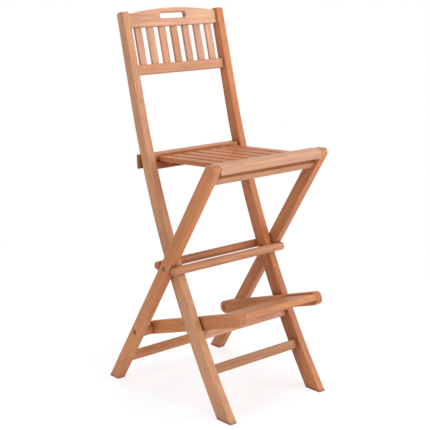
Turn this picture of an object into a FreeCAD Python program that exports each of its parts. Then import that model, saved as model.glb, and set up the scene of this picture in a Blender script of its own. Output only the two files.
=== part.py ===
import FreeCAD, Part
import math
import os

from FreeCAD import Vector

os.makedirs("parts", exist_ok=True)

# Folding bar stool in solid wood. Millimetres, +Z up, the seat faces -Y,
# the floor is z = 0 and the open stool is centred on the origin.

# overall widths, measured across X
REAR_LEG_OUTER = 230.0
REAR_LEG_T = 27.0
SIDE_GAP = 2.5
STILE_T = 26.5
REAR_LEG_INNER = REAR_LEG_OUTER - REAR_LEG_T
STILE_OUTER = REAR_LEG_INNER - SIDE_GAP
STILE_INNER = STILE_OUTER - STILE_T

# back stile: straight above the bend, an even sweep forwards below it
BEND_Z = 880.0
BEND_Y = 158.85
STILE_LEAN = 0.2555
STILE_SWEEP_R = 2217.3
STILE_SWEEP = 1 / STILE_SWEEP_R
STILE_TOP = 1162.0
STILE_FOOT_DEPTH = 51.3
STILE_TAPER = 0.0176
STILE_TOP_R = 9.0

# rear leg: straight, its head cut flush with the top and front of the seat
LEG_FLOOR_Y = 256.95
LEG_LEAN = -0.626
LEG_DEPTH = 38.6
LEG_INNER_EASE = 1.0
SEAT_PIN_Z = 742.7
CROSS_Z = 420.0
FOOT_PIN_Z = 183.5

# clearances
EASE = 2.0
MORTISE_GAP = 0.05
RUN_GAP = 0.05
BODY_GAP = 0.3
TENON = 12.0
TENON_SHOULDER = 5.0

# back
LOW_RAIL_DOWN = 172.0
LOW_RAIL_Z = STILE_TOP - LOW_RAIL_DOWN
LOW_RAIL_H = 30.0
BACK_RAIL_T = 18.0
BACK_RAIL_SHIFT = 3.0
TOP_RAIL_DOWN = 47.0
TOP_RAIL_Z = STILE_TOP - TOP_RAIL_DOWN
TOP_RAIL_END_H = 41.0
TOP_RAIL_CROWN_H = 55.8
SLOT_L = 101.0
SLOT_H = 18.5
SLOT_R = 5.5
SLOT_MID_H = 32.5
BACK_SLATS = 7
BACK_SLAT_W = 26.0
BACK_SLAT_T = 10.0
BACK_SLAT_SHIFT = 4.0
SLAT_PITCH = 46.5

# cross pieces between the stiles
LEDGE_H = 22.5
FOOT_LEDGE_H = 26.5
STRETCHER_Z = 130.3
STRETCHER_H = 28.8
RAIL_T = 20.0

# stop bars across the crossing: round, with a flat against the stiles
BAR_R = 13.0
BAR_FLAT = 1.0
BAR_HALF = REAR_LEG_OUTER - 1.0
BAR_END_EASE = 5.0

# cross pieces between the rear legs
APRON_CLEAR = 0.8
APRON_H = 21.0
REAR_STRETCHER_Z = 78.5
REAR_STRETCHER_H = 30.8

# seat, in its own frame about the seat pin, tilted down to the back
SEAT_TILT = 3.15
SEAT_TOP = 19.0
NOSE_FRONT = -24.0
NOSE_BACK = 21.0
NOSE_BOTTOM = -11.0
NOSE_TOP_R = 12.0
NOSE_LOW_R = 6.0
NOSE_HALF = REAR_LEG_INNER - 0.6
SEAT_SLATS = 7
SEAT_SLAT_W = 34.0
SEAT_SLAT_T = 14.0
SEAT_SLAT_DROP = 8.0
SEAT_RAIL_W = 33.3
SEAT_RAIL_T = 18.0
SEAT_RAIL_HALF = STILE_INNER - 2.0
HOOK_T = 10.0
HOOK_H = 42.5
HOOK_HALF = STILE_OUTER + 6.5

# footrest, in its own frame about its pin, rising to the front
REST_RISE = 17.4
ARM_OUTER = STILE_INNER - 4.0
ARM_T = 25.0
ARM_H = 41.0
ARM_FRONT = 440.0
ARM_END_R = 17.0
TREAD_FRONT = ARM_FRONT - EASE
TREAD_DEPTH = 140.0
TREAD_T = 22.0
TREAD_RAISE = 4.0
TREAD_R = 4.0
TREAD_SHOULDER = 20.0
SPACER_R = 20.0

# fastenings
BOLT_R = 4.0
BOLT_HEAD_R = 7.0
BOLT_HEAD_T = 5.0
BOLT_HEAD_EASE = 1.0
SINK_R = 7.6
SINK_DEPTH = 7.0
WASHER_R = 14.0
NUT_R = 6.4
NUT_CLEAR = 0.4
SHANK_BACK = 1.5
PIN_R = 6.0
PIN_IN_LEG = 14.0
PIN_IN_NOSE = 18.0


def stile_y(z):
    below = max(0.0, BEND_Z - z)
    return BEND_Y - STILE_LEAN * (BEND_Z - z) - 0.5 * STILE_SWEEP * below * below


def stile_slope(z):
    return STILE_LEAN + STILE_SWEEP * max(0.0, BEND_Z - z)


def stile_depth(z):
    return STILE_FOOT_DEPTH - STILE_TAPER * z


def leg_y(z):
    return LEG_FLOOR_Y + LEG_LEAN * z


def lean_degrees(slope):
    return math.degrees(math.atan(slope))


def place(shape, y, z, lean):
    # turns a piece built upright so that its Z axis leans back by lean degrees
    out = shape.copy()
    out.rotate(Vector(0, 0, 0), Vector(1, 0, 0), -lean)
    out.translate(Vector(0, y, z))
    return out


def block(x0, x1, y0, y1, z0, z1):
    return Part.makeBox(x1 - x0, y1 - y0, z1 - z0, Vector(x0, y0, z0))


def below_floor():
    return block(0, 2 * REAR_LEG_OUTER, -STILE_TOP, STILE_TOP, -STILE_TOP, 0)


def rod(radius, x0, x1, y, z):
    return Part.makeCylinder(radius, x1 - x0, Vector(x0, y, z), Vector(1, 0, 0))


def edges_longer(shape, length):
    return [e for e in shape.Edges if e.Length > length]


def long_edge(shape, y, z, half):
    # the long edge that passes through y and z
    for e in edges_longer(shape, half):
        box = e.BoundBox
        if abs(box.YMin - y) < 0.1 and abs(box.ZMin - z) < 0.1 and box.YLength < 0.1:
            return [e]
    return []


def mirrored(shape):
    return shape.mirror(Vector(0, 0, 0), Vector(1, 0, 0))


def save(shape, name):
    shape.exportStep("parts/" + name + ".step")


def cross_rail(half, height, thick, shift=0.0, ease=EASE, tenon=TENON):
    # a rail along X with chamfered edges and a stub tenon at each end
    body = block(-half, half, shift - thick / 2, shift + thick / 2, -height / 2, height / 2)
    body = body.makeChamfer(ease, edges_longer(body, half))
    stub = block(
        -half - tenon,
        half + tenon,
        shift - thick / 2 + TENON_SHOULDER,
        shift + thick / 2 - TENON_SHOULDER,
        -height / 2 + TENON_SHOULDER,
        height / 2 - TENON_SHOULDER,
    )
    return body.fuse(stub).removeSplitter()


def rail_mortise(half, height, thick, shift=0.0, tenon=TENON):
    grow = MORTISE_GAP - TENON_SHOULDER
    reach = half + tenon + MORTISE_GAP
    return block(
        -reach,
        reach,
        shift - thick / 2 - grow,
        shift + thick / 2 + grow,
        -height / 2 - grow,
        height / 2 + grow,
    )


def edge_point(z, side):
    slope = stile_slope(z)
    run = math.hypot(1.0, slope)
    off = side * stile_depth(z) / 2
    return Vector(0, stile_y(z) + off / run, z - off * slope / run)


def stile_profile():
    # the two long edges, each one carried past the floor and cut there afterwards
    step = BEND_Z / 6.5
    heights = [BEND_Z - (7 - i) * step for i in range(8)]
    front = [edge_point(z, -1) for z in heights]
    back = [edge_point(z, 1) for z in heights]
    front_top = edge_point(STILE_TOP, -1)
    back_top = edge_point(STILE_TOP, 1)
    edges = []
    for points, top in ((front, front_top), (back, back_top)):
        curve = Part.BSplineCurve()
        straight = (top - points[-1]).normalize()
        first = (points[1] - points[0]).normalize()
        curve.interpolate(Points=points, InitialTangent=first, FinalTangent=straight)
        edges.append(curve.toShape())
        edges.append(Part.makeLine(points[-1], top))
    edges.append(Part.makeLine(front_top, back_top))
    edges.append(Part.makeLine(front[0], back[0]))
    return Part.Wire(Part.__sortEdges__(edges))


def make_stile():
    face = Part.Face(stile_profile())
    body = face.extrude(Vector(STILE_T, 0, 0))
    body.translate(Vector(STILE_INNER, 0, 0))
    body = body.cut(below_floor())
    top = []
    for e in body.Edges:
        box = e.BoundBox
        if box.ZMin > STILE_TOP - STILE_T and box.XLength > STILE_T - 1:
            top.append(e)
    body = body.makeFillet(STILE_TOP_R, top)
    ring = []
    for e in body.Edges:
        box = e.BoundBox
        if box.XLength < 0.01 and box.ZMax > 5:
            ring.append(e)
    return body.makeChamfer(EASE, ring)


def rail_seat(z):
    return stile_y(z), z, lean_degrees(stile_slope(z))


def local_point(y, z, at):
    # where a point of a tilted part lies, for the pivot and tilt in at
    turn = math.radians(at[2])
    return (
        at[0] + y * math.cos(turn) + z * math.sin(turn),
        at[1] - y * math.sin(turn) + z * math.cos(turn),
    )


def halved(low, high, too_low):
    # the value at which too_low stops being true
    for _ in range(50):
        mid = (low + high) / 2
        if too_low(mid):
            low = mid
        else:
            high = mid
    return (low + high) / 2


def height_under(at, underside, rail_h):
    # height of a rail whose chamfered top front edge carries a tilted underside
    turn = math.radians(at[2])
    line_y, line_z = local_point(0.0, underside, at)

    def too_low(z):
        drops = []
        for back, down in ((EASE, 0.0), (0.0, EASE)):
            y, top = local_point(back - RAIL_T / 2, rail_h / 2 - down, rail_seat(z))
            drops.append((line_z - top) * math.cos(turn) - (y - line_y) * math.sin(turn))
        return min(drops) > BODY_GAP

    return halved(0.0, STILE_TOP, too_low)


def face_y(z, side):
    # the front or rear face of the stile at one height
    def too_low(centre):
        return edge_point(centre, side).z < z

    return edge_point(halved(-STILE_TOP, 2 * STILE_TOP, too_low), side).y


def reach_behind(at, z):
    # distance from the pivot to a face that stands just behind the stiles
    def too_low(reach):
        y, height = local_point(reach, z, at)
        off = (y - face_y(height, 1)) / math.hypot(1.0, stile_slope(height))
        return off < BODY_GAP

    return halved(0.0, 2 * STILE_TOP, too_low)


# the pivots: cross bolt, seat pin and footrest pin all lie on the rear leg's axis
cross_y = leg_y(CROSS_Z)
pin_y = leg_y(SEAT_PIN_Z)
foot_y = leg_y(FOOT_PIN_Z)
leg_lean = lean_degrees(LEG_LEAN)
leg_run = math.hypot(1.0, LEG_LEAN)
SEAT_AT = (pin_y, SEAT_PIN_Z, SEAT_TILT)
REST_AT = (foot_y, FOOT_PIN_Z, REST_RISE)
SLAT_UNDER = SEAT_TOP - SEAT_SLAT_DROP - SEAT_SLAT_T
LEDGE_Z = height_under(SEAT_AT, SLAT_UNDER, LEDGE_H)
FOOT_LEDGE_Z = height_under(REST_AT, -ARM_H / 2, FOOT_LEDGE_H)
SEAT_RAIL_BACK = reach_behind(SEAT_AT, SEAT_TOP)
SEAT_RAIL_FRONT = SEAT_RAIL_BACK - SEAT_RAIL_W
NOSE_SWING = math.hypot(NOSE_FRONT + NOSE_LOW_R, NOSE_BOTTOM + NOSE_LOW_R) + NOSE_LOW_R
APRON_DOWN = NOSE_SWING + APRON_CLEAR


def top_rail():
    # arched board with a long hand slot through it
    half = STILE_INNER
    y0 = BACK_RAIL_SHIFT - BACK_RAIL_T / 2
    low_left = Vector(-half, y0, 0)
    low_right = Vector(half, y0, 0)
    end_right = Vector(half, y0, TOP_RAIL_END_H)
    end_left = Vector(-half, y0, TOP_RAIL_END_H)
    crown = Vector(0, y0, TOP_RAIL_CROWN_H)
    wire = Part.Wire(
        [
            Part.makeLine(low_left, low_right),
            Part.makeLine(low_right, end_right),
            Part.Arc(end_right, crown, end_left).toShape(),
            Part.makeLine(end_left, low_left),
        ]
    )
    body = Part.Face(wire).extrude(Vector(0, BACK_RAIL_T, 0))
    body = body.makeChamfer(EASE, edges_longer(body, half))
    tenon = block(
        -half - TENON,
        half + TENON,
        y0 + TENON_SHOULDER,
        y0 + BACK_RAIL_T - TENON_SHOULDER,
        TENON_SHOULDER,
        TOP_RAIL_END_H - TENON_SHOULDER,
    )
    body = body.fuse(tenon).removeSplitter()
    mid = SLOT_L / 2
    up = SLOT_H / 2
    past = BACK_RAIL_T
    slot = block(-mid, mid, y0 - past, y0 + BACK_RAIL_T + past, SLOT_MID_H - up, SLOT_MID_H + up)
    slot = slot.makeFillet(SLOT_R, [e for e in slot.Edges if e.BoundBox.YLength > past])
    body = body.cut(slot)
    rim = []
    for e in body.Edges:
        box = e.BoundBox
        inside = box.XMin > -SLOT_L / 2 - 1 and box.XMax < SLOT_L / 2 + 1
        if inside and box.YLength < 0.01:
            rim.append(e)
    return body.makeChamfer(EASE, rim)


def top_rail_mortise():
    half = STILE_INNER
    y0 = BACK_RAIL_SHIFT - BACK_RAIL_T / 2
    g = MORTISE_GAP
    return block(
        -half - TENON - g,
        half + TENON + g,
        y0 + TENON_SHOULDER - g,
        y0 + BACK_RAIL_T - TENON_SHOULDER + g,
        TENON_SHOULDER - g,
        TOP_RAIL_END_H - TENON_SHOULDER + g,
    )


# the back leans as one flat panel above the bend
BACK_LEAN = lean_degrees(STILE_LEAN)
low_seat = rail_seat(LOW_RAIL_Z)
top_seat = rail_seat(TOP_RAIL_Z)
panel_run = math.hypot(top_seat[0] - low_seat[0], top_seat[1] - low_seat[1])
slat_low = LOW_RAIL_H / 2
slat_high = panel_run
STUB = 8.0


def back_slat(x, grow=0.0):
    # stub ends stand 8 mm into both rails, 3 mm in from each face
    y0 = BACK_SLAT_SHIFT - BACK_SLAT_T / 2
    y1 = y0 + BACK_SLAT_T
    w = BACK_SLAT_W / 2
    stub = block(
        x - w + 3 - grow,
        x + w - 3 + grow,
        y0 + 2 - grow,
        y1 - 2 + grow,
        slat_low - STUB - grow,
        slat_high + STUB + grow,
    )
    if grow:
        return stub
    body = block(x - w, x + w, y0, y1, slat_low, slat_high)
    body = body.makeChamfer(EASE, edges_longer(body, panel_run / 2))
    return body.fuse(stub).removeSplitter()


low_rail = cross_rail(STILE_INNER, LOW_RAIL_H, BACK_RAIL_T, BACK_RAIL_SHIFT)
top_board = top_rail()
for i in range(BACK_SLATS):
    x = (i - (BACK_SLATS - 1) / 2) * SLAT_PITCH
    slat = back_slat(x)
    hole = back_slat(x, MORTISE_GAP)
    low_rail = low_rail.cut(hole)
    hole.translate(Vector(0, 0, -panel_run))
    top_board = top_board.cut(hole)
    save(place(slat, low_seat[0], low_seat[1], BACK_LEAN), "back_slat_%d" % (i + 1))
save(place(low_rail, *low_seat), "back_low_rail")
save(place(top_board, *top_seat), "back_top_rail")

ledge_seat = rail_seat(LEDGE_Z)
rest_seat = rail_seat(FOOT_LEDGE_Z)
stretcher_seat = rail_seat(STRETCHER_Z)
save(place(cross_rail(STILE_INNER, LEDGE_H, RAIL_T), *ledge_seat), "seat_ledge_rail")
save(place(cross_rail(STILE_INNER, FOOT_LEDGE_H, RAIL_T), *rest_seat), "footrest_ledge_rail")
save(place(cross_rail(STILE_INNER, STRETCHER_H, RAIL_T), *stretcher_seat), "front_stretcher")

stile = make_stile()
cutters = [
    place(rail_mortise(STILE_INNER, LOW_RAIL_H, BACK_RAIL_T, BACK_RAIL_SHIFT), *low_seat),
    place(top_rail_mortise(), *top_seat),
    place(rail_mortise(STILE_INNER, LEDGE_H, RAIL_T), *ledge_seat),
    place(rail_mortise(STILE_INNER, FOOT_LEDGE_H, RAIL_T), *rest_seat),
    place(rail_mortise(STILE_INNER, STRETCHER_H, RAIL_T), *stretcher_seat),
    rod(BOLT_R + RUN_GAP, STILE_INNER - 1, STILE_OUTER + 1, cross_y, CROSS_Z),
    rod(SINK_R, STILE_INNER - 1, STILE_INNER + SINK_DEPTH, cross_y, CROSS_Z),
]
for tool in cutters:
    stile = stile.cut(tool)
save(stile, "stile_right")
save(mirrored(stile), "stile_left")


def stop_bar(side):
    # the bar fills the angle where the faces of the stile and the rear leg meet:
    # it is fixed to the stile and the opened leg comes to rest against it
    def too_low(z):
        return face_y(z, side) < leg_y(z) + side * LEG_DEPTH / 2 * leg_run

    meet = halved(CROSS_Z - 1.5 * LEG_DEPTH, CROSS_Z + 1.5 * LEG_DEPTH, too_low)
    stile_angle = math.atan(stile_slope(meet))
    angle = stile_angle - math.atan(LEG_LEAN)
    off = MORTISE_GAP + BAR_R - BAR_FLAT
    along = (BAR_R + BODY_GAP - off * math.cos(angle)) / math.sin(angle)
    foot = meet + side * along * math.cos(stile_angle)
    rise = face_y(foot + BAR_R, side) - face_y(foot - BAR_R, side)
    bar = rod(BAR_R, -BAR_HALF, BAR_HALF, side * off, 0)
    bar = bar.makeChamfer(BAR_END_EASE, [e for e in bar.Edges if e.BoundBox.XLength < 0.01])
    reach = BAR_HALF + 1
    edge = side * MORTISE_GAP
    flat = block(-reach, reach, min(edge, -side * BAR_R), max(edge, -side * BAR_R), -BAR_R, BAR_R)
    return place(bar.cut(flat), face_y(foot, side), foot, lean_degrees(rise / (2 * BAR_R)))


save(stop_bar(-1), "stop_bar_front")
save(stop_bar(1), "stop_bar_rear")


def make_leg():
    # a straight bar, trimmed by the floor and by the top and front of the seat
    length = SEAT_PIN_Z * leg_run
    r = LEG_DEPTH / 2
    body = block(REAR_LEG_INNER, REAR_LEG_OUTER, -r, r, -length - 2 * r, 3 * r)
    body = place(body, pin_y, SEAT_PIN_Z, leg_lean)
    body = body.cut(below_floor())
    inside = block(0, 2 * REAR_LEG_OUTER, NOSE_FRONT, STILE_TOP, -STILE_TOP, SEAT_TOP)
    inside = inside.makeFillet(NOSE_TOP_R, long_edge(inside, NOSE_FRONT, SEAT_TOP, REAR_LEG_OUTER))
    body = body.common(place(inside, *SEAT_AT)).removeSplitter()
    for x, ease in ((REAR_LEG_OUTER, EASE), (REAR_LEG_INNER, LEG_INNER_EASE)):
        ring = []
        for e in body.Edges:
            box = e.BoundBox
            if box.XLength < 0.01 and abs(box.XMin - x) < 0.01 and box.ZMax > EASE:
                ring.append(e)
        body = body.makeChamfer(ease, ring)
    return body


apron_drop = APRON_DOWN + APRON_H / 2
apron_seat = (
    pin_y - apron_drop * LEG_LEAN / leg_run,
    SEAT_PIN_Z - apron_drop / leg_run,
    leg_lean,
)
low_stretcher_seat = (leg_y(REAR_STRETCHER_Z), REAR_STRETCHER_Z, leg_lean)
save(place(cross_rail(REAR_LEG_INNER, APRON_H, RAIL_T), *apron_seat), "seat_apron")
save(
    place(cross_rail(REAR_LEG_INNER, REAR_STRETCHER_H, RAIL_T), *low_stretcher_seat),
    "rear_stretcher",
)

leg = make_leg()
cutters = [
    place(rail_mortise(REAR_LEG_INNER, APRON_H, RAIL_T), *apron_seat),
    place(rail_mortise(REAR_LEG_INNER, REAR_STRETCHER_H, RAIL_T), *low_stretcher_seat),
    rod(PIN_R, REAR_LEG_INNER - 1, REAR_LEG_INNER + PIN_IN_LEG, pin_y, SEAT_PIN_Z),
]
for y, z in ((cross_y, CROSS_Z), (foot_y, FOOT_PIN_Z)):
    cutters.append(rod(BOLT_R, REAR_LEG_INNER - 1, REAR_LEG_OUTER + 1, y, z))
    cutters.append(rod(SINK_R, REAR_LEG_OUTER - SINK_DEPTH, REAR_LEG_OUTER + 1, y, z))
for tool in cutters:
    leg = leg.cut(tool)
save(leg, "rear_leg_right")
save(mirrored(leg), "rear_leg_left")


def bolt(y, z, inner):
    # flanged head sunk in the outer face, barrel nut sunk in the inner one
    head_x = REAR_LEG_OUTER - SINK_DEPTH
    shaft = rod(BOLT_R, inner + SHANK_BACK, head_x, y, z)
    head = rod(BOLT_HEAD_R, head_x, head_x + BOLT_HEAD_T, y, z)
    head = head.makeChamfer(BOLT_HEAD_EASE, [head.Edges[0]])
    nut = rod(NUT_R, inner + SHANK_BACK, inner + SINK_DEPTH - NUT_CLEAR, y, z)
    return shaft.fuse(head).fuse(nut).removeSplitter()


def pair(shape):
    return Part.makeCompound([shape, mirrored(shape)])


save(pair(bolt(cross_y, CROSS_Z, STILE_INNER)), "cross_bolts")
save(pair(bolt(foot_y, FOOT_PIN_Z, ARM_OUTER - ARM_T)), "footrest_bolts")

washer = rod(WASHER_R, STILE_OUTER + BODY_GAP, REAR_LEG_INNER, cross_y, CROSS_Z)
washer = washer.cut(rod(BOLT_R, STILE_OUTER, REAR_LEG_INNER + 1, cross_y, CROSS_Z))
save(pair(washer), "cross_washers")

spacer = rod(SPACER_R, ARM_OUTER + BODY_GAP, REAR_LEG_INNER, foot_y, FOOT_PIN_Z)
spacer = spacer.makeChamfer(EASE, [spacer.Edges[0], spacer.Edges[2]])
spacer = spacer.cut(rod(BOLT_R, ARM_OUTER, REAR_LEG_INNER + 1, foot_y, FOOT_PIN_Z))
save(pair(spacer), "footrest_spacers")

pin = rod(PIN_R, NOSE_HALF - PIN_IN_NOSE, REAR_LEG_INNER + PIN_IN_LEG - 1, pin_y, SEAT_PIN_Z)
save(pair(pin), "seat_pins")


def nose_board():
    body = block(-NOSE_HALF, NOSE_HALF, NOSE_FRONT, NOSE_BACK, NOSE_BOTTOM, SEAT_TOP)
    for y, z, radius in (
        (NOSE_FRONT, SEAT_TOP, NOSE_TOP_R),
        (NOSE_FRONT, NOSE_BOTTOM, NOSE_LOW_R),
        (NOSE_BACK, SEAT_TOP, EASE),
        (NOSE_BACK, NOSE_BOTTOM, EASE),
    ):
        body = body.makeFillet(radius, long_edge(body, y, z, NOSE_HALF))
    return body


def seat_slat(x, grow=0.0):
    z0 = SLAT_UNDER
    z1 = z0 + SEAT_SLAT_T
    w = SEAT_SLAT_W / 2
    stub = block(
        x - w + 4 - grow,
        x + w - 4 + grow,
        NOSE_BACK - STUB - grow,
        SEAT_RAIL_FRONT + STUB + grow,
        z0 + 5 - grow,
        z1 - 2 + grow,
    )
    if grow:
        return stub
    body = block(x - w, x + w, NOSE_BACK, SEAT_RAIL_FRONT, z0, z1)
    body = body.makeChamfer(EASE, edges_longer(body, SEAT_RAIL_FRONT / 2))
    return body.fuse(stub).removeSplitter()


nose = nose_board()
seat_rail = block(
    -SEAT_RAIL_HALF,
    SEAT_RAIL_HALF,
    SEAT_RAIL_FRONT,
    SEAT_RAIL_BACK,
    SEAT_TOP - SEAT_RAIL_T,
    SEAT_TOP,
)
top_edges = [e for e in edges_longer(seat_rail, SEAT_RAIL_HALF) if e.BoundBox.ZMin > SEAT_TOP - 1]
front_edge = [e for e in top_edges if e.BoundBox.YMax < SEAT_RAIL_FRONT + 1]
seat_rail = seat_rail.makeChamfer(EASE, front_edge)
corners = []
for e in seat_rail.Edges:
    box = e.BoundBox
    if box.ZLength > 8 and box.XLength < 0.01 and box.YLength < 0.01:
        if box.YMax < SEAT_RAIL_FRONT + 1:
            corners.append(e)
seat_rail = seat_rail.makeFillet(6.0, corners)
for i in range(SEAT_SLATS):
    x = (i - (SEAT_SLATS - 1) / 2) * SLAT_PITCH
    hole = seat_slat(x, MORTISE_GAP)
    nose = nose.cut(hole)
    seat_rail = seat_rail.cut(hole)
    save(place(seat_slat(x), *SEAT_AT), "seat_slat_%d" % (i + 1))
for sign in (-1, 1):
    x0 = NOSE_HALF - PIN_IN_NOSE - 0.5
    hole = rod(PIN_R + RUN_GAP, x0, NOSE_HALF + 1, 0, 0)
    if sign < 0:
        hole = mirrored(hole)
    nose = nose.cut(hole)
save(place(nose, *SEAT_AT), "seat_nose_board")
save(place(seat_rail, *SEAT_AT), "seat_rear_rail")

hook = block(
    -HOOK_HALF,
    HOOK_HALF,
    SEAT_RAIL_BACK,
    SEAT_RAIL_BACK + HOOK_T,
    SEAT_TOP - HOOK_H,
    SEAT_TOP,
)
hook_edges = []
for e in hook.Edges:
    box = e.BoundBox
    if box.YMin > SEAT_RAIL_BACK + HOOK_T - 0.1 and box.YLength < 0.01:
        hook_edges.append(e)
hook = hook.makeChamfer(EASE, hook_edges)
save(place(hook, *SEAT_AT), "seat_hook_board")


def arm():
    r = ARM_H / 2
    inner = ARM_OUTER - ARM_T
    body = block(inner, ARM_OUTER, -ARM_FRONT, 0, -r, r)
    body = body.fuse(rod(r, inner, ARM_OUTER, 0, 0)).removeSplitter()
    front = []
    for e in body.Edges:
        box = e.BoundBox
        if box.YMax < -ARM_FRONT + 1 and box.XLength > ARM_T - 1:
            front.append(e)
    body = body.makeFillet(ARM_END_R, front)
    ring = [e for e in body.Edges if e.BoundBox.XLength < 0.01]
    body = body.makeChamfer(EASE, ring)
    body = body.cut(rod(BOLT_R + RUN_GAP, inner - 1, ARM_OUTER + 1, 0, 0))
    body = body.cut(rod(SINK_R, inner - 1, inner + SINK_DEPTH, 0, 0))
    return body.cut(tread_tenon(MORTISE_GAP))


def tread_tenon(grow=0.0):
    inner = ARM_OUTER - ARM_T
    reach = inner + TENON + grow
    back = -TREAD_FRONT + TREAD_DEPTH
    return block(
        -reach,
        reach,
        -TREAD_FRONT + TREAD_SHOULDER - grow,
        back - TREAD_SHOULDER + grow,
        TREAD_RAISE - TREAD_T / 2 + TENON_SHOULDER - grow,
        TREAD_RAISE + TREAD_T / 2 - TENON_SHOULDER + grow,
    )


def tread():
    inner = ARM_OUTER - ARM_T
    back = -TREAD_FRONT + TREAD_DEPTH
    low = TREAD_RAISE - TREAD_T / 2
    body = block(-inner, inner, -TREAD_FRONT, back, low, low + TREAD_T)
    body = body.makeFillet(TREAD_R, edges_longer(body, inner))
    return body.fuse(tread_tenon()).removeSplitter()


one_arm = arm()
save(place(one_arm, *REST_AT), "footrest_arm_right")
save(place(mirrored(one_arm), *REST_AT), "footrest_arm_left")
save(place(tread(), *REST_AT), "footrest_tread")
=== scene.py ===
import math
import random

import bpy
import numpy
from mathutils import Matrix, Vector

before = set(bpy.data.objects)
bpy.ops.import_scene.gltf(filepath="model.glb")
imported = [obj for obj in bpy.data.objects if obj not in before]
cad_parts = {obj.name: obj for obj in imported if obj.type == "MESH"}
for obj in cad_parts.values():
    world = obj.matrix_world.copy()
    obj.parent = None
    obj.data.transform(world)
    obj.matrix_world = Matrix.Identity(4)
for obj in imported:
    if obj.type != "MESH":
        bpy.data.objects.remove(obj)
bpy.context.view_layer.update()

# A folding bar stool of reddish wood on a plain pale floor, in soft studio light.
# Lengths are in metres and angles in degrees. The stool faces -Y.

# middle tones of the pieces, as 8-bit sRGB; a few of them paint in light or shade, as noted
# below
SHADES = {
    "middle": (194, 127, 82),
    "pale": (207, 156, 125),
    "rose": (198, 148, 118),
    "dull": (196, 140, 103),
    "deep": (182, 114, 72),
    "brown": (170, 120, 83),
    "red": (164, 90, 56),
}
# every other wooden piece has the middle tone
SHADE_OF = {
    # the back's rails and slats are of one wood: their pale, rose and dull tones are partly
    # paler wood and partly a painted sheen on their front faces
    "back_top_rail": "pale",
    "back_slat_1": "rose",
    "back_slat_2": "pale",
    "back_slat_3": "dull",
    "back_slat_4": "dull",
    "back_slat_5": "rose",
    "back_slat_6": "rose",
    "back_slat_7": "pale",
    "back_low_rail": "dull",
    "stile_left": "dull",
    "stile_right": "deep",
    "seat_nose_board": "rose",
    "front_stretcher": "brown",
    "seat_hook_board": "deep",
    "seat_apron": "dull",
    # painted shade: the ledge rail lies in shade under the seat, and its darker red stands in
    # for that shade
    "seat_ledge_rail": "red",
    "stop_bar_front": "dull",
    # partly painted shade: the rear stop bar lies in shade behind the frames, and the deep
    # tone darkens it for that
    "stop_bar_rear": "deep",
    # painted light: the footrest's ledge rail lies in shade under the tread, and the pale tone
    # lightens it to make up for that
    "footrest_ledge_rail": "pale",
}
SEAT_SLATS = 7
SHADE_OF.update({"seat_slat_%d" % (i + 1): "deep" for i in range(SEAT_SLATS)})

# grain tones, as shares of the middle or the dark tone of a piece
LIGHT_GRAIN = 1.23
DARK_GRAIN = 0.74
STREAK_GRAIN = 0.74
PORE_GRAIN = 0.60
END_DARK = 0.60
END_LIGHT = 0.92
# the painted highlight along the edges, as a share of the light tone
EDGE_HIGHLIGHT = 1.20
# tint of the painted shade in the corners and of the soil on the feet, as shares of the dark
# tone
SHADE_AND_SOIL_TINT = (0.48, 0.25, 0.17)

# how strongly each layer covers the one below it
FIGURE_COVER = 0.40
STREAK_COVER = 0.60
PORE_COVER = 0.40
END_COVER = 0.75
# the painted highlight along the edges
EDGE_HIGHLIGHT_COVER = 0.45
SOIL_COVER = 0.75

# slow changes of tone over a piece, from its dull to its bright patches
PATCH_DULL = (0.86, 0.81, 0.76)
PATCH_BRIGHT = (1.13, 1.17, 1.23)
HUE_GOLD = (0.99, 1.02, 0.93)
HUE_PINK = (1.01, 0.98, 1.05)

# painted shade in the corners where pieces meet, from their ambient occlusion: how far a
# corner reaches, and how strong it is on each piece
CORNER_REACH = 0.022
CORNER_SAMPLES = 6
CORNER_SHADE = 0.75
# the nose board, the apron and the heads of the legs get less painted shade, and the seat's
# rear rail gets it in full
CORNER_SHADE_OF = {
    "seat_nose_board": 0.15,
    "seat_apron": 0.1,
    "rear_leg_left": 0.3,
    "rear_leg_right": 0.3,
    "seat_rear_rail": 1.0,
}
# the feet are soiled up to this height
SOIL_HEIGHT = 0.009

EDGE_RADIUS = 0.0018
EDGE_SAMPLES = 4
WOOD_ROUGH = (0.40, 0.54)
PORE_ROUGH = 0.25
WOOD_SPECULAR = 0.34
WOOD_RELIEF = 0.0004
STREAK_RELIEF = 0.5
PORE_RELIEF = 0.8
BAND_RELIEF = 0.6
RELIEF_STRENGTH = 0.15

# each piece is cut from another place of the pattern
PATTERN_REACH = 5
FIRST_SEED = 100

STEEL_NODES = ("cross_bolts", "footrest_bolts", "seat_pins", "cross_washers")
# the steel's dark brown is partly painted shade, for the holes that the bolts sit in
STEEL_DARK = (126, 74, 45)
STEEL_LIGHT = (170, 112, 74)
STEEL_ROUGH = (0.38, 0.60)
STEEL_RELIEF = 0.0002
STEEL_METALLIC = 0.6

FLOOR_HALF = 14.0
FLOOR_BOUNCE = 0.92
# the floor shows its shadow up to the first distance, and none past the second
SHADOW_REACH = (0.9, 2.0)
SHADOW_GLOW = 0.73
SHADOW_PAINT = 0.34
WORLD_LIGHT = 0.35

# the camera stands as the one that took the photograph
PHOTO_WIDTH = 430.0
FOCAL_PIXELS = 1116.16
SENSOR_WIDTH = 36.0
CAMERA_AT = (-2.2243, -2.50095, 1.3558)
CAMERA_YAW = 41.377
CAMERA_PITCH = -13.56
CAMERA_ROLL = 0.03
CAMERA_REACH = 100

scene = bpy.context.scene
scene.view_settings.view_transform = "Standard"


# node helpers

def new_material(name):
    mat = bpy.data.materials.new(name)
    mat.use_nodes = True
    tree = mat.node_tree
    tree.nodes.clear()
    return mat, tree


def add(tree, kind, **values):
    node = tree.nodes.new(kind)
    for key, value in values.items():
        setattr(node, key, value)
    return node


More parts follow.
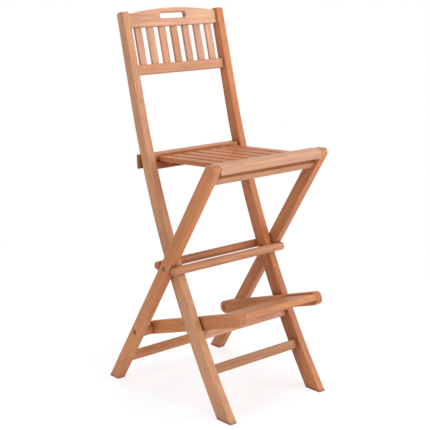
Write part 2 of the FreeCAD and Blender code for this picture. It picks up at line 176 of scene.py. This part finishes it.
def math_node(tree, op, a, b=None, clamp=False):
    node = add(tree, "ShaderNodeMath", operation=op, use_clamp=clamp)
    for i, value in enumerate((a, b)):
        if value is None:
            continue
        if isinstance(value, (int, float)):
            node.inputs[i].default_value = value
        else:
            tree.links.new(value, node.inputs[i])
    return node.outputs[0]


def dot(tree, a, b):
    # b is a socket or a fixed vector
    node = add(tree, "ShaderNodeVectorMath", operation="DOT_PRODUCT")
    tree.links.new(a, node.inputs[0])
    if isinstance(b, Vector):
        node.inputs[1].default_value = b
    else:
        tree.links.new(b, node.inputs[1])
    return node.outputs["Value"]


def mix_color(tree, blend, factor, a, b):
    node = add(tree, "ShaderNodeMix", data_type="RGBA", blend_type=blend)
    # sockets 0, 6 and 7 are the factor and the two colours
    for index, value in ((0, factor), (6, a), (7, b)):
        socket = node.inputs[index]
        if isinstance(value, (int, float)):
            socket.default_value = value
        elif isinstance(value, tuple):
            socket.default_value = (*value, 1.0)
        else:
            tree.links.new(value, socket)
    return node.outputs[2]


def map_range(tree, value, lo, hi, to_lo, to_hi):
    node = add(tree, "ShaderNodeMapRange", clamp=True)
    tree.links.new(value, node.inputs[0])
    for i, number in enumerate((lo, hi, to_lo, to_hi)):
        node.inputs[i + 1].default_value = number
    return node.outputs[0]


def ramp(tree, value, stops):
    node = add(tree, "ShaderNodeValToRGB")
    tree.links.new(value, node.inputs[0])
    row = node.color_ramp.elements
    while len(row) < len(stops):
        row.new(0.5)
    for element, (at, color) in zip(row, stops):
        element.position = at
        element.color = (*color, 1.0)
    return node.outputs[0]


def relief(tree, height, depth):
    node = add(tree, "ShaderNodeBump")
    node.inputs["Strength"].default_value = RELIEF_STRENGTH
    node.inputs["Distance"].default_value = depth
    tree.links.new(height, node.inputs["Height"])
    return node


def surface(tree, color, rough, normal):
    # the closing shader of a material
    shader = add(tree, "ShaderNodeBsdfPrincipled")
    tree.links.new(color, shader.inputs["Base Color"])
    tree.links.new(rough, shader.inputs["Roughness"])
    tree.links.new(normal, shader.inputs["Normal"])
    close(tree, shader, "ShaderNodeOutputMaterial")
    return shader


def close(tree, shader, kind):
    out = add(tree, kind)
    tree.links.new(shader.outputs[0], out.inputs[0])


def srgb(r, g, b):
    # 8-bit sRGB to linear light
    out = []
    for c in (r, g, b):
        c = c / 255.0
        out.append(c / 12.92 if c <= 0.04045 else ((c + 0.055) / 1.055) ** 2.4)
    return tuple(out)


def scaled(color, factor):
    return tuple(min(1.0, c * factor) for c in color)


# materials

def wood(name, centre, along, shade, seed, corner_shade):
    # faint bands and fine streaks along the piece, short pores, darker end grain,
    # a painted highlight on the edges, painted shade in the corners and dirt at the feet
    mat, tree = new_material(name)
    link = tree.links.new
    coord = add(tree, "ShaderNodeTexCoord")
    centred = add(tree, "ShaderNodeVectorMath", operation="SUBTRACT")
    link(coord.outputs["Object"], centred.inputs[0])
    centred.inputs[1].default_value = centre
    # the piece's length becomes local Z
    turn = add(tree, "ShaderNodeMapping", vector_type="POINT")
    to_z = along.rotation_difference(Vector((0, 0, 1)))
    turn.inputs["Rotation"].default_value = to_z.to_euler()
    link(centred.outputs[0], turn.inputs["Vector"])

    rng = random.Random(seed)
    place = [rng.uniform(-PATTERN_REACH, PATTERN_REACH) for _ in range(3)]
    offset = add(tree, "ShaderNodeMapping", vector_type="POINT")
    offset.inputs["Location"].default_value = place
    link(turn.outputs[0], offset.inputs["Vector"])

    def noise(stretch, scale, detail, rough, distortion=0.0):
        # stretch below 1 draws the pattern out along the piece
        shape = add(tree, "ShaderNodeMapping", vector_type="POINT")
        shape.inputs["Scale"].default_value = (1, 1, stretch)
        link(offset.outputs[0], shape.inputs["Vector"])
        node = add(tree, "ShaderNodeTexNoise")
        link(shape.outputs[0], node.inputs["Vector"])
        node.inputs["Scale"].default_value = scale
        node.inputs["Detail"].default_value = detail
        node.inputs["Roughness"].default_value = rough
        node.inputs["Distortion"].default_value = distortion
        return node.outputs[0]

    bands = noise(stretch=0.04, scale=140, detail=3, rough=0.6, distortion=0.7)
    figure = noise(stretch=0.12, scale=24, detail=4, rough=0.6, distortion=1.2)
    streak = noise(stretch=0.022, scale=430, detail=3, rough=0.6)
    pores = noise(stretch=0.03, scale=1150, detail=2, rough=0.5)
    cloud = noise(stretch=0.25, scale=11, detail=3, rough=0.5)
    hue = noise(stretch=0.16, scale=30, detail=2, rough=0.5)
    rings = noise(stretch=1.0, scale=900, detail=3, rough=0.6)

    # grain
    mid = srgb(*shade)
    light = scaled(mid, LIGHT_GRAIN)
    dark = scaled(mid, DARK_GRAIN)
    fine = ramp(tree, bands, [(0.30, dark), (0.46, mid), (0.60, light), (0.76, mid)])
    large = ramp(tree, figure, [(0.3, dark), (0.5, mid), (0.7, light)])
    color = mix_color(tree, "MIX", FIGURE_COVER, fine, large)
    lines = map_range(tree, streak, 0.52, 0.70, 0.0, STREAK_COVER)
    color = mix_color(tree, "MIX", lines, color, scaled(dark, STREAK_GRAIN))
    specks = map_range(tree, pores, 0.60, 0.72, 0.0, PORE_COVER)
    color = mix_color(tree, "MIX", specks, color, scaled(dark, PORE_GRAIN))
    patches = ramp(tree, cloud, [(0.32, PATCH_DULL), (0.68, PATCH_BRIGHT)])
    color = mix_color(tree, "MULTIPLY", 1.0, color, patches)
    hues = ramp(tree, hue, [(0.36, HUE_GOLD), (0.64, HUE_PINK)])
    color = mix_color(tree, "MULTIPLY", 1.0, color, hues)

    # end grain
    geo = add(tree, "ShaderNodeNewGeometry")
    facing = dot(tree, geo.outputs["True Normal"], along)
    facing = math_node(tree, "ABSOLUTE", facing)
    end = map_range(tree, facing, 0.72, 0.92, 0.0, END_COVER)
    end_stops = [(0.35, scaled(dark, END_DARK)), (0.65, scaled(mid, END_LIGHT))]
    color = mix_color(tree, "MIX", end, color, ramp(tree, rings, end_stops))

    # edges are painted a little paler, a painted highlight along them
    bevel = add(tree, "ShaderNodeBevel", samples=EDGE_SAMPLES)
    bevel.inputs["Radius"].default_value = EDGE_RADIUS
    bend = dot(tree, bevel.outputs[0], geo.outputs["True Normal"])
    edge_highlight = map_range(tree, bend, 0.985, 0.80, 0.0, EDGE_HIGHLIGHT_COVER)
    uneven = map_range(tree, cloud, 0.35, 0.65, 0.4, 1.0)
    edge_highlight = math_node(tree, "MULTIPLY", edge_highlight, uneven)
    color = mix_color(tree, "MIX", edge_highlight, color, scaled(light, EDGE_HIGHLIGHT))

    # painted shade darkens the corners where pieces meet, from their ambient occlusion, and
    # the feet are soiled
    shade_and_soil = tuple(c * tint for c, tint in zip(dark, SHADE_AND_SOIL_TINT))
    corner = add(tree, "ShaderNodeAmbientOcclusion", samples=CORNER_SAMPLES)
    corner.inputs["Distance"].default_value = CORNER_REACH
    painted_shade = map_range(tree, corner.outputs["AO"], 0.85, 0.25, 0.0, corner_shade)
    color = mix_color(tree, "MIX", painted_shade, color, shade_and_soil)
    spot = add(tree, "ShaderNodeSeparateXYZ")
    link(coord.outputs["Object"], spot.inputs[0])
    soiled = map_range(tree, spot.outputs["Z"], SOIL_HEIGHT, 0.0, 0.0, SOIL_COVER)
    color = mix_color(tree, "MIX", soiled, color, shade_and_soil)

    rough = map_range(tree, figure, 0.3, 0.7, *WOOD_ROUGH)
    dull = math_node(tree, "MULTIPLY", specks, PORE_ROUGH)
    rough = math_node(tree, "ADD", rough, dull, clamp=True)

    height = math_node(tree, "MULTIPLY", streak, STREAK_RELIEF)
    sunk = math_node(tree, "MULTIPLY", specks, PORE_RELIEF)
    height = math_node(tree, "SUBTRACT", height, sunk)
    raised = math_node(tree, "MULTIPLY", bands, BAND_RELIEF)
    height = math_node(tree, "ADD", height, raised)
    bump = relief(tree, height, WOOD_RELIEF)
    link(bevel.outputs[0], bump.inputs["Normal"])

    shader = surface(tree, color, rough, bump.outputs[0])
    shader.inputs["Specular IOR Level"].default_value = WOOD_SPECULAR
    return mat


def steel(name):
    # dark brown steel, mottled, with a fine roughness; the dark brown is partly painted shade
    # of the holes that the bolts sit in
    mat, tree = new_material(name)
    coord = add(tree, "ShaderNodeTexCoord")

    def noise(scale):
        node = add(tree, "ShaderNodeTexNoise")
        tree.links.new(coord.outputs["Object"], node.inputs["Vector"])
        node.inputs["Scale"].default_value = scale
        return node

    grain = noise(700)
    grain.inputs["Detail"].default_value = 4
    mottle = noise(160)
    stops = [(0.35, srgb(*STEEL_DARK)), (0.65, srgb(*STEEL_LIGHT))]
    color = ramp(tree, mottle.outputs[0], stops)
    rough = map_range(tree, grain.outputs[0], 0.3, 0.7, *STEEL_ROUGH)
    bump = relief(tree, grain.outputs[0], STEEL_RELIEF)
    shader = surface(tree, color, rough, bump.outputs[0])
    shader.inputs["Metallic"].default_value = STEEL_METALLIC
    return mat


def long_axis(obj):
    # the middle of the piece and the direction in which it is longest
    pts = numpy.empty(len(obj.data.vertices) * 3)
    obj.data.vertices.foreach_get("co", pts)
    pts = pts.reshape(-1, 3)
    spread = pts - pts.mean(0)
    vectors = numpy.linalg.eigh(spread.T @ spread)[1]
    return Vector((pts.max(0) + pts.min(0)) / 2), Vector(vectors[:, -1]).normalized()


for index, (node, obj) in enumerate(sorted(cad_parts.items())):
    if node in STEEL_NODES:
        mat = steel("steel_" + node)
    else:
        centre, along = long_axis(obj)
        if node == "footrest_spacers":
            # the node holds two short rods, each with its length across the stool
            along = Vector((1, 0, 0))
        shade = SHADES[SHADE_OF.get(node, "middle")]
        # how much painted shade the piece gets in its corners
        corner_shade = CORNER_SHADE_OF.get(node, CORNER_SHADE)
        mat = wood("wood_" + node, centre, along, shade, FIRST_SEED + index, corner_shade)
    for slot in obj.material_slots:
        slot.material = mat
    if not obj.material_slots:
        obj.data.materials.append(mat)


# floor and surroundings

def seen_directly(tree):
    # 1 for rays from the camera and for what shows in gloss or glass
    path = add(tree, "ShaderNodeLightPath")
    seen = math_node(tree, "ADD", path.outputs["Is Camera Ray"], path.outputs["Is Glossy Ray"])
    return math_node(tree, "ADD", seen, path.outputs["Is Transmission Ray"], clamp=True)


def pale_floor():
    # near the stool the floor takes its shadow, and farther out it is plain white
    mat, tree = new_material("pale_floor")
    link = tree.links.new
    seen = seen_directly(tree)
    coord = add(tree, "ShaderNodeTexCoord")
    away = add(tree, "ShaderNodeVectorMath", operation="LENGTH")
    link(coord.outputs["Object"], away.inputs[0])
    near = map_range(tree, away.outputs["Value"], *SHADOW_REACH, 1.0, 0.0)
    shown = math_node(tree, "MULTIPLY", near, SHADOW_PAINT)
    grey = mix_color(tree, "MIX", seen, (FLOOR_BOUNCE,) * 3, shown)
    paint = add(tree, "ShaderNodeBsdfDiffuse")
    link(grey, paint.inputs["Color"])
    taken = math_node(tree, "MULTIPLY", near, 1.0 - SHADOW_GLOW)
    level = math_node(tree, "SUBTRACT", 1.0, taken)
    glow = add(tree, "ShaderNodeEmission")
    link(math_node(tree, "MULTIPLY", level, seen), glow.inputs["Strength"])
    both = add(tree, "ShaderNodeAddShader")
    link(paint.outputs[0], both.inputs[0])
    link(glow.outputs[0], both.inputs[1])
    close(tree, both, "ShaderNodeOutputMaterial")
    return mat


half = FLOOR_HALF
corners = [(-half, -half, 0), (half, -half, 0), (half, half, 0), (-half, half, 0)]
floor_mesh = bpy.data.meshes.new("floor")
floor_mesh.from_pydata(corners, [], [(0, 1, 2, 3)])
floor = bpy.data.objects.new("floor", floor_mesh)
bpy.context.collection.objects.link(floor)
floor.data.materials.append(pale_floor())

world = bpy.data.worlds.new("studio")
scene.world = world
world.use_nodes = True
tree = world.node_tree
tree.nodes.clear()
sky = add(tree, "ShaderNodeBackground")
sky.inputs["Color"].default_value = (1, 1, 1, 1)
strength = math_node(tree, "MULTIPLY", seen_directly(tree), 1.0 - WORLD_LIGHT)
strength = math_node(tree, "ADD", strength, WORLD_LIGHT)
tree.links.new(strength, sky.inputs["Strength"])
close(tree, sky, "ShaderNodeOutputWorld")


# light and camera

def soft_box(name, at, aim_height, width, height, power, mirrored=False):
    # aimed at the stool's middle line; only a mirrored box shows as a highlight
    # in the gloss of the wood
    data = bpy.data.lights.new(name, "AREA")
    data.shape = "RECTANGLE"
    data.size = width
    data.size_y = height
    data.energy = power
    obj = bpy.data.objects.new(name, data)
    obj.location = at
    aim = Vector((0, 0, aim_height)) - Vector(at)
    obj.rotation_euler = aim.to_track_quat("-Z", "Y").to_euler()
    obj.visible_glossy = mirrored
    bpy.context.collection.objects.link(obj)


soft_box("key", at=(-0.7, -4.0, 1.3), aim_height=0.6, width=2.4, height=1.8, power=52)
soft_box("side", at=(-4.0, -0.5, 1.9), aim_height=0.7, width=2.0, height=1.6, power=43)
soft_box("sheen", at=(2.4, -2.6, 1.6), aim_height=0.9, width=1.8, height=2.2, power=46,
         mirrored=True)
soft_box("overhead", at=(0.2, -0.3, 3.3), aim_height=0.6, width=1.8, height=1.8, power=36)
soft_box("rear", at=(1.6, 3.8, 2.0), aim_height=0.6, width=2.0, height=1.6, power=36)

camera_data = bpy.data.cameras.new("photo_camera")
camera = bpy.data.objects.new("photo_camera", camera_data)
bpy.context.collection.objects.link(camera)
camera_data.sensor_fit = "HORIZONTAL"
camera_data.sensor_width = SENSOR_WIDTH
camera_data.lens = SENSOR_WIDTH * FOCAL_PIXELS / PHOTO_WIDTH
camera_data.clip_end = CAMERA_REACH
yaw, pitch = math.radians(CAMERA_YAW), math.radians(CAMERA_PITCH)
look = Vector((math.sin(yaw) * math.cos(pitch), math.cos(yaw) * math.cos(pitch),
               math.sin(pitch)))
camera.location = CAMERA_AT
camera.rotation_euler = look.to_track_quat("-Z", "Y").to_euler()
camera.rotation_euler.rotate_axis("Z", math.radians(CAMERA_ROLL))
scene.camera = camera

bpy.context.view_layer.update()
